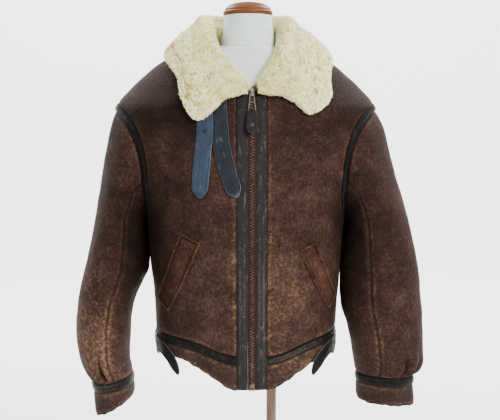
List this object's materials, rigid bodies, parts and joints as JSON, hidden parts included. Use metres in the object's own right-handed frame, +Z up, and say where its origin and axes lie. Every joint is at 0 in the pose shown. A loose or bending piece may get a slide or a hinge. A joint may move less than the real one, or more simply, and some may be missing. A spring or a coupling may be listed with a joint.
{
  "type": "sheepskin flying jacket worn on a limbless dress form with a pole stand",
  "caption": "Brown sheepskin flying jacket with a turned-down cream fleece collar, front zip and waist straps, worn on a limbless canvas dress form on a pole stand.",
  "frame": {"origin": "on the floor under the middle of the overall bounding box", "axes": "+X to the right as the jacket is seen from the front, -Y the front of the jacket, +Z up"},
  "size_m": [0.72, 0.4, 1.445],
  "materials": {
    "antiqued_skin": "mottled, rubbed brown sheepskin, grain side out, semi-matt",
    "waistband_skin": "lighter, greyer rubbed sheepskin",
    "black_leather": "black smooth leather, half gloss, scuffed",
    "zip_tape_cloth": "dark woven cotton tape",
    "bronze_zip": "dark aged bronze",
    "steel_zip": "worn nickel plate",
    "collar_fleece": "cream curled sheep fleece",
    "form_canvas": "white canvas, matt",
    "stand_wood": "turned beech, satin varnish"
  },
  "bodies": {
    "jacket_and_form": {"front_left": "antiqued_skin", "front_right": "antiqued_skin", "back": "antiqued_skin", "waist_tape_left": "black_leather", "waist_tape_right": "black_leather", "waist_tape_back": "black_leather", "waistband_left": "waistband_skin", "waistband_right": "waistband_skin", "waistband_back": "waistband_skin", "zip_facing_left": "black_leather", "zip_facing_right": "black_leather", "zip_tape_left": "zip_tape_cloth", "zip_tape_right": "zip_tape_cloth", "zip_chain": "bronze_zip", "zip_box": "bronze_zip", "zip_slider": "steel_zip", "armhole_tape_left": "black_leather", "armhole_tape_right": "black_leather", "sleeve_top_left": "antiqued_skin", "sleeve_under_left": "antiqued_skin", "cuff_tape_left": "black_leather", "cuff_left": "waistband_skin", "sleeve_top_right": "antiqued_skin", "sleeve_under_right": "antiqued_skin", "cuff_tape_right": "black_leather", "cuff_right": "waistband_skin", "collar": "collar_fleece", "collar_strap_a": "black_leather", "collar_strap_b": "black_leather", "side_strap_left": "black_leather", "side_tongue_left": "black_leather", "side_buckle_left": "black_leather", "side_strap_right": "black_leather", "side_tongue_right": "black_leather", "side_buckle_right": "black_leather", "pocket_welt_left": "antiqued_skin", "pocket_welt_right": "antiqued_skin", "form_torso": "form_canvas", "form_neck_cap": "stand_wood", "form_pole": "stand_wood", "form_base": "stand_wood"},
    "zip_pull": {"zip_puller": "steel_zip", "zip_pull_tab": "black_leather"}
  },
  "joints": [
    {"name": "zip_pull_swing", "type": "hinge", "parent": "jacket_and_form", "child": "zip_pull", "pos_m": [0.004, -0.10886, 1.26601], "axis": [1, 0, 0], "range_deg": [-95, 0]}
  ]
}
